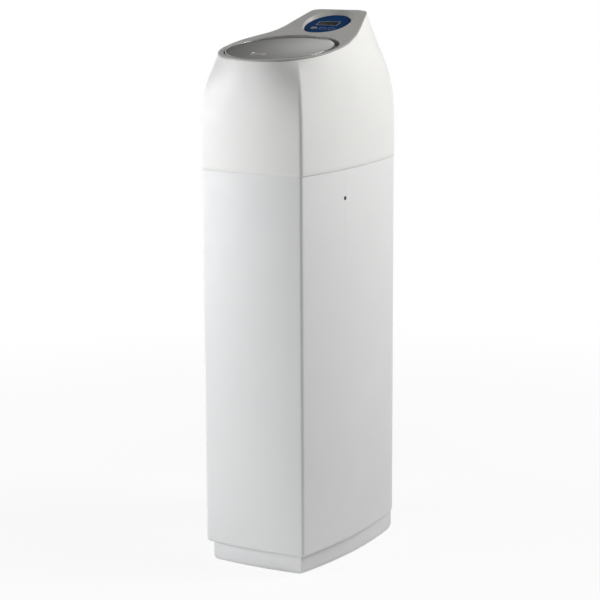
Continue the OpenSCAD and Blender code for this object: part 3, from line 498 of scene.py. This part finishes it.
# grey top with the lid pocket and the control well
top = {
    "thick": 3, "roundR": 1.2, "fillStep": 9, "floorStep": 7,
    "edgeShare": 0.3, "pocketShare": 0.25, "wellShare": 0.2, "fullShare": 0.8,
    "lidY": -90, "pocketR": 121, "pocketShift": 6.5, "pocketDepth": 12, "pocketRound": 0.8, "pocketSides": 160,
    "fillR": 92, "fillRound": 1, "neck": 14, "skin": 2,
    "ovalY": 120, "ovalHalf": 49, "ovalLen": 55.5, "ovalSlope": 17, "ovalDepth": 6, "ovalFlare": 14,
    "ovalSides": 120, "wellOut": 1.5, "wellFloor": 2.5, "wellHigh": 4.0, "wellTries": 40,
    "lcdWidth": 48, "lcdHeight": 19, "lcdUp": 5, "lcdPlay": 0.3, "lcdR": 1.0,
    "keyWidth": 13, "keyHeight": 9, "keyPitch": 21, "keyDown": 24, "keyPlay": 0.4, "keySides": 40,
    "earX": 22, "earWidth": 6, "earSteps": 12, "earRoot": 0.5, "pinY": 122, "pinDrop": 6,
    "knuckleR": 4, "knuckleX": 13, "knuckleWidth": 11.4,
}
ovalRatio = top["ovalHalf"] / top["ovalLen"]
ovalTilt = math.radians(top["ovalSlope"])
lidPlace = Matrix.Translation((0, top["lidY"], panelZ(top["lidY"]))) @ Matrix.Rotation(lidTilt, 4, "X")
ovalPlace = Matrix.Translation((0, top["ovalY"], panelZ(top["ovalY"]))) @ Matrix.Rotation(ovalTilt, 4, "X")
ovalPlace = ovalPlace @ Matrix.Translation((0, 0, -top["ovalDepth"]))


def pocketRing(radius, z, shift, count=top["pocketSides"]):
    return [lidPlace @ Vector((p.x, p.y, z)) for p in ovalPoints(radius, radius, count, 0, shift)]


def onSheet(drop):
    return lambda p: Vector((p.x, p.y, panelZ(p.y) - drop))


def sheetRing(loop, drop):
    return [onSheet(drop)(p) for p in loop]


def onOval(z):
    return lambda p: ovalPlace @ Vector((p.x, p.y, z))


def ovalRing(loop, z):
    return [onOval(z)(p) for p in loop]


def ovalLoop(length):
    return ovalPoints(length * ovalRatio, length, top["ovalSides"])


def wellEdge(start, drop):  # where the flared well wall comes through the sheet
    edge = []
    slope = top["ovalFlare"] / (2 * top["ovalDepth"])
    for k in range(top["ovalSides"]):
        a = 2 * math.pi * k / top["ovalSides"]
        low, high = 0.0, top["wellHigh"] * top["ovalDepth"]
        for _ in range(top["wellTries"]):
            z = (low + high) / 2
            reach = start + slope * z
            spot = ovalPlace @ Vector((reach * ovalRatio * math.cos(a), reach * math.sin(a), z))
            if spot.z < panelZ(spot.y) - drop:
                low = z
            else:
                high = z
        edge.append(spot)
    return edge


def grown(loop, middle, amount):
    return [p + (p - middle).normalized() * amount for p in loop]


def keyHole(k, grow):  # k counts from the left
    t = top
    return ovalPoints(t["keyWidth"] / 2 + grow, t["keyHeight"] / 2 + grow, t["keySides"],
                      (k - 1) * t["keyPitch"], -t["keyDown"])


def displayHole(grow, radius=top["lcdR"]):
    return roundedBox(top["lcdWidth"] + 2 * grow, top["lcdHeight"] + 2 * grow, radius, 0, top["lcdUp"])


def controlHoles(displayGrow):
    return [displayHole(displayGrow)] + [keyHole(k, top["keyPlay"]) for k in range(3)]


def earProfile(radius, drop):  # rounded top, straight foot, in (depth, height)
    tip = arcPoints(Vector((top["pinY"], -top["pinDrop"])), radius, 0, math.pi, top["earSteps"])
    return tip + [Vector((top["pinY"] - radius, drop)), Vector((top["pinY"] + radius, drop))]


def addBar(skin, profile, x0, x1):  # profile in the lid's depth and height, pushed along X
    skin.solid([[lidPlace @ Vector((x, p.x, p.y)) for p in profile] for x in (x0, x1)])


def buildTop():
    t = top
    r, thick, shift, deep = t["roundR"], t["thick"], t["pocketShift"], -t["pocketDepth"]
    skin = Skin()
    ovalMiddle = Vector((0, t["ovalY"], 0))
    outer = [topEdge(r), topEdge(r * t["edgeShare"]), topEdge(0)]
    pocket = pocketRing(t["pocketR"] + r * t["fullShare"], 0, shift)
    well = wellEdge(t["ovalLen"], 0)
    wellOut = sheetRing(grown(well, ovalMiddle, r), 0)
    skin.patch([flatRing(outer[0], 0), pocket, wellOut], onSheet(0), t["fillStep"])
    skin.loft([sheetRing(outer[0], 0), sheetRing(outer[1], r * t["edgeShare"]),
               sheetRing(outer[2], r), sheetRing(outer[2], thick)])

    low, cupR = deep - t["skin"], t["pocketR"] + t["skin"]
    cup = pocketRing(cupR, -thick, shift)
    rows = ((t["pocketR"] + r * t["pocketShare"], -r * t["pocketShare"], shift),
            (t["pocketR"], -r * t["fullShare"], shift),
            (t["pocketR"], deep + t["pocketRound"], shift), (t["pocketR"] - t["pocketRound"], deep, shift),
            (t["fillR"] + t["fillRound"], deep, 0), (t["fillR"], deep - t["fillRound"], 0),
            (t["fillR"], low - t["neck"], 0), (t["fillR"] + t["skin"], low - t["neck"], 0),
            (t["fillR"] + t["skin"], low, 0), (cupR, low, shift))
    skin.loft([sheetRing(pocket, 0)] + [pocketRing(*row) for row in rows] + [sheetRing(cup, thick)])

    outLen, floor, hub = t["ovalLen"] + t["wellOut"], -t["wellFloor"], ovalPlace @ Vector((0, 0, 0))
    under = sheetRing(wellEdge(outLen, thick), thick)
    skin.loft([wellOut, sheetRing(grown(well, ovalMiddle, r * t["wellShare"]), r * t["wellShare"]),
               [p + (hub - p).normalized() * r * t["fullShare"] for p in well],
               ovalRing(ovalLoop(t["ovalLen"]), 0)])
    skin.loft([ovalRing(ovalLoop(outLen), floor), under])
    holes = controlHoles(t["lcdPlay"])
    skin.patch([ovalLoop(t["ovalLen"])] + holes, onOval(0), t["floorStep"])
    skin.patch([ovalLoop(outLen)] + holes, onOval(floor), t["floorStep"], True)
    for hole in holes:
        skin.loft([ovalRing(hole, 0), ovalRing(hole, floor)])
    skin.patch([flatRing(outer[2], 0), cup, under], onSheet(thick), t["fillStep"], True)

    ear = earProfile(t["knuckleR"], deep - t["earRoot"])
    for x in (-t["earX"], t["earX"]):
        addBar(skin, ear, x - t["earWidth"] / 2, x + t["earWidth"] / 2)
    return skin.piece("topPanel")


topPanel = buildTop()
place(topPanel, "top_panel", "hood_body")
print("top panel", len(topPanel.data.polygons))


# salt lid
lid = {
    "radius": 114, "sink": 0.3, "rim": 3.5, "rimStep": 1.5, "dish": 7.7, "thick": 3, "around": 180,
    "dishSteps": 40, "underSteps": 20, "edgeR": 0.9, "edgeSteps": 6,
    "step": ((-0.6, -0.1), (0.1, 0.35)), "crest": ((0.5, -0.5), (1.0, -0.1), (1.6, 0)),
    "skirtIn": 2, "skirt": 2.5, "foot": -11.7,
    "eyeSides": 24, "armIn": 8, "armLow": -9, "armHigh": -4, "armPlay": 0.2,
}


def lidDish(r):
    return -lid["sink"] - lid["rimStep"] - lid["dish"] * (1 - (r / (lid["radius"] - lid["rim"])) ** 2)


def lidProfile():  # radius and height, from the middle over the rim to the middle of the underside
    v = lid
    face, edge = -v["sink"], v["edgeR"]
    inner, out = v["radius"] - v["rim"], v["radius"] - v["skirtIn"]
    wide, under = out - v["skirt"], face - v["thick"]
    reaches = [inner * k / v["dishSteps"] for k in range(1, v["dishSteps"])]
    profile = [(r, lidDish(r)) for r in reaches]
    profile += [(inner + far, lidDish(inner) + rise) for far, rise in v["step"]]
    profile += [(inner + far, face + rise) for far, rise in v["crest"]]
    profile += [(v["radius"] - edge + edge * si, face - edge + edge * co) for si, co in quarter(v["edgeSteps"])]
    profile += [(v["radius"], under), (out, under), (out, v["foot"]), (wide, v["foot"])]
    reaches = [wide * k / v["underSteps"] for k in range(v["underSteps"], 0, -1)]
    return profile + [(r, lidDish(r) - v["thick"]) for r in reaches]


def buildLid():
    v = lid
    skin = Skin()
    rows = skin.loft([pocketRing(r, z, 0, v["around"]) for r, z in lidProfile()])
    for row, z in ((rows[0], lidDish(0)), (rows[-1], lidDish(0) - v["thick"])):
        tip = skin.add([lidPlace @ Vector((0, 0, z))])[0]
        for i, a in enumerate(row):
            skin.faces.append((a, row[(i + 1) % len(row)], tip))
    eye = ovalPoints(top["knuckleR"], top["knuckleR"], v["eyeSides"], top["pinY"], -top["pinDrop"])
    near, far, low, high = v["radius"] - v["armIn"], top["pinY"], v["armLow"], v["armHigh"]
    arm = [Vector(p) for p in ((near, low), (far, low), (far, high), (near, high))]
    for side in (-1, 1):
        x0 = side * top["knuckleX"] - top["knuckleWidth"] / 2
        addBar(skin, eye, x0, x0 + top["knuckleWidth"])
        addBar(skin, arm, x0 + v["armPlay"], x0 + top["knuckleWidth"] - v["armPlay"])
    return skin.piece("saltLid")


saltLid = buildLid()
place(saltLid, "lid", "lid_body")
print("lid", len(saltLid.data.polygons))


# plain round badge, laid on the lid's dish
badge = {
    "radius": 17, "rim": 1.8, "rise": 0.9, "floor": 0.2, "root": 0.2, "x": -34, "y": -33, "sides": 64,
    "edge": 0.4, "edgeShare": 0.6, "slope": 0.5, "floorShares": (0.7, 0.35),
    "first": (0.44, 0.436, 0.424), "second": (0.46, 0.456, 0.444), "rough": 0.40,
}


def buildBadge():
    b = badge
    far, inner = b["radius"], b["radius"] - b["rim"]
    profile = [(far, -b["root"]), (far, b["rise"] * b["edgeShare"]), (far - b["edge"], b["rise"]),
               (inner, b["rise"]), (inner - b["slope"], b["floor"])]
    profile += [(inner * share, b["floor"]) for share in b["floorShares"]]
    rings = []
    for r, rise in profile:
        spots = ovalPoints(r, r, b["sides"], b["x"], b["y"])
        rings.append([lidPlace @ Vector((p.x, p.y, lidDish(p.length) + rise)) for p in spots])
    skin = Skin()
    skin.solid(rings)
    return skin.piece("lidBadge")


lidBadge = buildBadge()
lidBadge.data.materials.append(mouldedPlastic("lidBadge", badge["first"], badge["second"], badge["rough"],
                                              grain=1400, grainDepth=0.000004, metallic=0.4))
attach(lidBadge, "lid_body")
print("badge", len(lidBadge.data.polygons))


# control plate, display and keys
plate = {
    "thick": 1.5, "gap": 0.3, "edgeR": 0.6, "edgeIn": 0.2, "fillStep": 6,
    "glassIn": 0.3, "glassRows": ((-0.3, -0.6), (-0.5, -0.35), (-0.9, -0.3)),
    "keyRise": 1.4, "keyGap": 0.3, "lip": 1.2, "lipThick": 1.5, "stem": 4.5, "stemR": 2, "stemTop": 1,
    "stemSides": 20, "crownR": 0.9, "crownShare": 0.8, "crownSteps": 6,
    "crownRows": ((-0.09, -1.8), (-0.03, -2.8), (0, -3.8)),
}


def buildPlate():
    p = plate
    length, thick = top["ovalLen"] - p["gap"], p["thick"]
    inner = length - p["edgeR"]
    rows = ((length, 0), (length, thick - p["edgeR"]), (length - p["edgeIn"], thick - p["edgeIn"]), (inner, thick))
    holes = controlHoles(0)
    skin = Skin()
    skin.loft([ovalRing(ovalLoop(r), z) for r, z in rows])
    skin.patch([ovalLoop(inner)] + holes, onOval(thick), p["fillStep"])
    skin.patch([ovalLoop(length)] + holes, onOval(0), p["fillStep"], True)
    for hole in holes:
        skin.loft([ovalRing(hole, 0), ovalRing(hole, thick)])
    return skin.piece("bluePlate")


def buildGlass():
    rows = [(-plate["glassIn"], -top["wellFloor"])]
    rows += [(grow, plate["thick"] + rise) for grow, rise in plate["glassRows"]]
    skin = Skin()
    skin.solid([ovalRing(displayHole(grow), z) for grow, z in rows])
    return skin.piece("displayGlass")


def buildKey(name, k):
    p, t = plate, top
    crown, soft, ledge = p["thick"] + p["keyRise"], p["crownR"], -t["wellFloor"] - p["keyGap"]
    rows = [(ledge - p["lipThick"], p["lip"]), (ledge, p["lip"]), (ledge, 0), (crown - soft, 0)]
    rows += [(crown - soft + soft * si * p["crownShare"], -soft * (1 - co))
             for si, co in quarter(p["crownSteps"])[1:]]
    rows += [(crown + rise, grow) for rise, grow in p["crownRows"]]
    skin = Skin()
    skin.solid([ovalRing(keyHole(k, grow), z) for z, grow in rows])
    stem = ovalPoints(p["stemR"], p["stemR"], p["stemSides"], (k - 1) * t["keyPitch"], -t["keyDown"])
    skin.solid([ovalRing(stem, -t["wellFloor"] - drop) for drop in (p["stem"], p["stemTop"])])
    return skin.piece(name)


bluePlate = buildPlate()
place(bluePlate, "fascia", "hood_body")
displayGlass = buildGlass()
place(displayGlass, "lcd_window", "hood_body")
keyRows = (("button_left", "left_key"), ("button_middle", "middle_key"), ("button_right", "right_key"))
for k, (node, body) in enumerate(keyRows):
    place(buildKey("key_" + node.split("_")[1], k), node, body)
print("controls", 2 + len(keyRows))


# thin raised bands around the display and the keys
trimming = {
    "frameIn": 0.2, "frame": 1.6, "frameR": 2.2, "frameRise": 0.35, "ringIn": 0.5, "ring": 1.0, "ringRise": 0.3,
    "share": 0.3, "edgeShare": 0.6, "first": (0.25, 0.26, 0.29), "second": (0.29, 0.30, 0.33), "rough": 0.35,
}


def trimBand(name, innerLoop, outerLoop, rise):
    low, part = plate["thick"], trimming["share"]
    edge, crest = low + rise * trimming["edgeShare"], low + rise
    pairs = list(zip(innerLoop, outerLoop))
    skin = Skin()
    skin.loft([ovalRing(innerLoop, low), ovalRing(innerLoop, edge),
               ovalRing([a * (1 - part) + b * part for a, b in pairs], crest),
               ovalRing([a * part + b * (1 - part) for a, b in pairs], crest),
               ovalRing(outerLoop, edge), ovalRing(outerLoop, low)], closed=True)
    return skin.piece(name)


def buildTrims():
    s = trimming
    inner, outer = displayHole(s["frameIn"]), displayHole(s["frame"], s["frameR"])
    made = [trimBand("displayTrim", inner, outer, s["frameRise"])]
    for k in range(len(keyRows)):
        inner, outer = keyHole(k, s["ringIn"]), keyHole(k, s["ringIn"] + s["ring"])
        made.append(trimBand("keyRing_%d" % k, inner, outer, s["ringRise"]))
    return made


trims = buildTrims()
trimFinish = mouldedPlastic("paleTrim", trimming["first"], trimming["second"], trimming["rough"],
                            grainDepth=0.00001, sheen=0.2)
for trim in trims:
    trim.data.materials.append(trimFinish)
    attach(trim, "hood_body")
print("trim bands", len(trims))


# camera at the photograph's angle
shot = {
    "spot": (2.0017, -3.6920, 1.4349), "turn": 28.52, "down": 11.96, "roll": -0.28, "lens": 118.93, "sensor": 36,
}


def buildCamera():
    data = bpy.data.cameras.new("camera")
    data.lens = shot["lens"]
    data.sensor_width = shot["sensor"]
    camera = bpy.data.objects.new("camera", data)
    bpy.context.collection.objects.link(camera)
    a, d, r = (math.radians(shot[k]) for k in ("turn", "down", "roll"))
    forward = Vector((-math.sin(a) * math.cos(d), math.cos(a) * math.cos(d), -math.sin(d)))
    right = Vector((math.cos(a), math.sin(a), 0))
    up = right.cross(forward)
    rolledRight = right * math.cos(r) + up * math.sin(r)
    rolledUp = up * math.cos(r) - right * math.sin(r)
    turn = Matrix((rolledRight, rolledUp, -forward)).transposed().to_4x4()
    camera.matrix_world = Matrix.Translation(shot["spot"]) @ turn
    bpy.context.scene.camera = camera


buildCamera()
print("camera ready")


# studio: lamps on both sides, and a room that only shows in mirrors: white rear left, dark right and above
studio = {
    "world": 0.0, "white": (1, 1, 1, 1), "skyLow": 0.50, "skyHigh": 0.63, "skyTop": 0.02,
    "wallTurn": 31.3, "wallSoft": 0.02, "wallLeft": 1.0, "wallRight": 0.03,
    "whiteTurn": 50, "whiteNear": 0.9, "whiteFar": 0.55, "whiteLow": 0.5,
    "lamps": {
        "leftBox": {"spot": (-2.0, -1.9, 1.1), "aim": (0, -0.1, 0.75), "size": (1.5, 1.5), "watts": 50,
                    "tint": (0.99, 0.993, 1.0), "mirrored": True},
        "leftTall": {"spot": (-2.4, -1.6, 0.9), "aim": (0, -0.1, 0.6), "size": (1.2, 1.6), "watts": 20,
                     "tint": (0.99, 0.993, 1.0), "mirrored": True},
        "rightBox": {"spot": (1.9, 0.5, 1.95), "aim": (0, 0, 0.9), "size": (0.8, 0.8), "watts": 27,
                     "tint": (1.0, 0.998, 0.985), "mirrored": False},
        "highBox": {"spot": (1.2, 0.7, 2.5), "aim": (0, 0, 1.0), "size": (0.6, 0.6), "watts": 21,
                    "tint": (1.0, 0.998, 0.985), "mirrored": True},
    },
    "floorSize": 40, "floorDrop": 0.0005, "floorColour": (0.86, 0.86, 0.86), "floorRough": 0.9,
    "floorGlow": 0.9, "glowStrength": 1.0, "fadeStart": 0.7, "fadeEnd": 2.2,
}


def seenRay(tree):  # 1 for rays that show a surface: straight, mirrored or through glass
    path = tree.nodes.new("ShaderNodeLightPath")
    seen = path.outputs["Is Camera Ray"]
    for name in ("Is Glossy Ray", "Is Transmission Ray"):
        either = tree.nodes.new("ShaderNodeMath")
        either.operation = "MAXIMUM"
        tree.links.new(seen, either.inputs[0])
        tree.links.new(path.outputs[name], either.inputs[1])
        seen = either.outputs[0]
    return seen


def alongValue(tree, vector, direction):  # how far a direction points along another
    dot = tree.nodes.new("ShaderNodeVectorMath")
    dot.operation = "DOT_PRODUCT"
    dot.inputs[1].default_value = direction
    tree.links.new(vector, dot.inputs[0])
    return dot.outputs["Value"]


def mixShaders(tree, fac, first, second, target):
    mix = tree.nodes.new("ShaderNodeMixShader")
    tree.links.new(fac, mix.inputs["Fac"])
    tree.links.new(first.outputs[0], mix.inputs[1])
    tree.links.new(second.outputs[0], mix.inputs[2])
    tree.links.new(mix.outputs[0], target.inputs["Surface"])


def buildLamps():
    for name, lamp in studio["lamps"].items():
        data = bpy.data.lights.new(name, "AREA")
        data.shape = "RECTANGLE"
        data.size, data.size_y = lamp["size"]
        data.energy = lamp["watts"]
        data.color = lamp["tint"]
        light = bpy.data.objects.new(name, data)
        light.location = lamp["spot"]
        light.visible_glossy = lamp["mirrored"]
        aim = Vector(lamp["aim"]) - Vector(lamp["spot"])
        light.rotation_euler = aim.to_track_quat("-Z", "Y").to_euler()
        bpy.context.collection.objects.link(light)


def buildRoom():
    s = studio
    world = bpy.data.worlds.new("whiteRoom")
    bpy.context.scene.world = world
    world.use_nodes = True
    tree = world.node_tree
    tree.nodes.clear()
    room, seen = tree.nodes.new("ShaderNodeBackground"), tree.nodes.new("ShaderNodeBackground")
    room.inputs["Color"].default_value = s["white"]
    room.inputs["Strength"].default_value = s["world"]
    seen.inputs["Color"].default_value = s["white"]
    ray = tree.nodes.new("ShaderNodeTexCoord").outputs["Generated"]
    turn, rear = math.radians(s["wallTurn"]), math.radians(s["whiteTurn"])
    across = alongValue(tree, ray, (-math.cos(turn), -math.sin(turn), 0))
    along = alongValue(tree, ray, (-math.sin(rear), math.cos(rear), 0))
    ceiling = mapValue(tree, alongValue(tree, ray, (0, 0, 1)), s["skyLow"], s["skyHigh"], 1.0, s["skyTop"])
    wall = mapValue(tree, across, -s["wallSoft"], s["wallSoft"], s["wallRight"], s["wallLeft"])
    sector = mapValue(tree, along, s["whiteFar"], s["whiteNear"], s["whiteLow"], 1.0)
    tree.links.new(multiply(tree, multiply(tree, ceiling, wall), sector), seen.inputs["Strength"])
    mixShaders(tree, seenRay(tree), room, seen, tree.nodes.new("ShaderNodeOutputWorld"))


def buildFloor():
    s = studio
    size = s["floorSize"]
    mesh = bpy.data.meshes.new("floor")
    corners = [(-size, -size), (size, -size), (size, size), (-size, size)]
    mesh.from_pydata([(x, y, -s["floorDrop"]) for x, y in corners], [], [(0, 1, 2, 3)])
    floor = bpy.data.objects.new("floor", mesh)
    bpy.context.collection.objects.link(floor)
    made, tree, shader, coords = nodeMaterial("studioFloor")
    shader.inputs["Base Color"].default_value = (*s["floorColour"], 1)
    shader.inputs["Roughness"].default_value = s["floorRough"]
    glow = tree.nodes.new("ShaderNodeEmission")
    glow.inputs["Color"].default_value = s["white"]
    glow.inputs["Strength"].default_value = s["glowStrength"]
    reach = tree.nodes.new("ShaderNodeVectorMath")  # distance from the object
    reach.operation = "LENGTH"
    tree.links.new(coords, reach.inputs[0])
    fade = mapValue(tree, reach.outputs["Value"], s["fadeStart"], s["fadeEnd"], s["floorGlow"], 1.0)
    mixShaders(tree, multiply(tree, fade, seenRay(tree)), shader, glow, tree.nodes["Material Output"])
    mesh.materials.append(made)


buildLamps()
buildRoom()
buildFloor()
bpy.context.scene.view_settings.view_transform = "Standard"
print("studio ready")
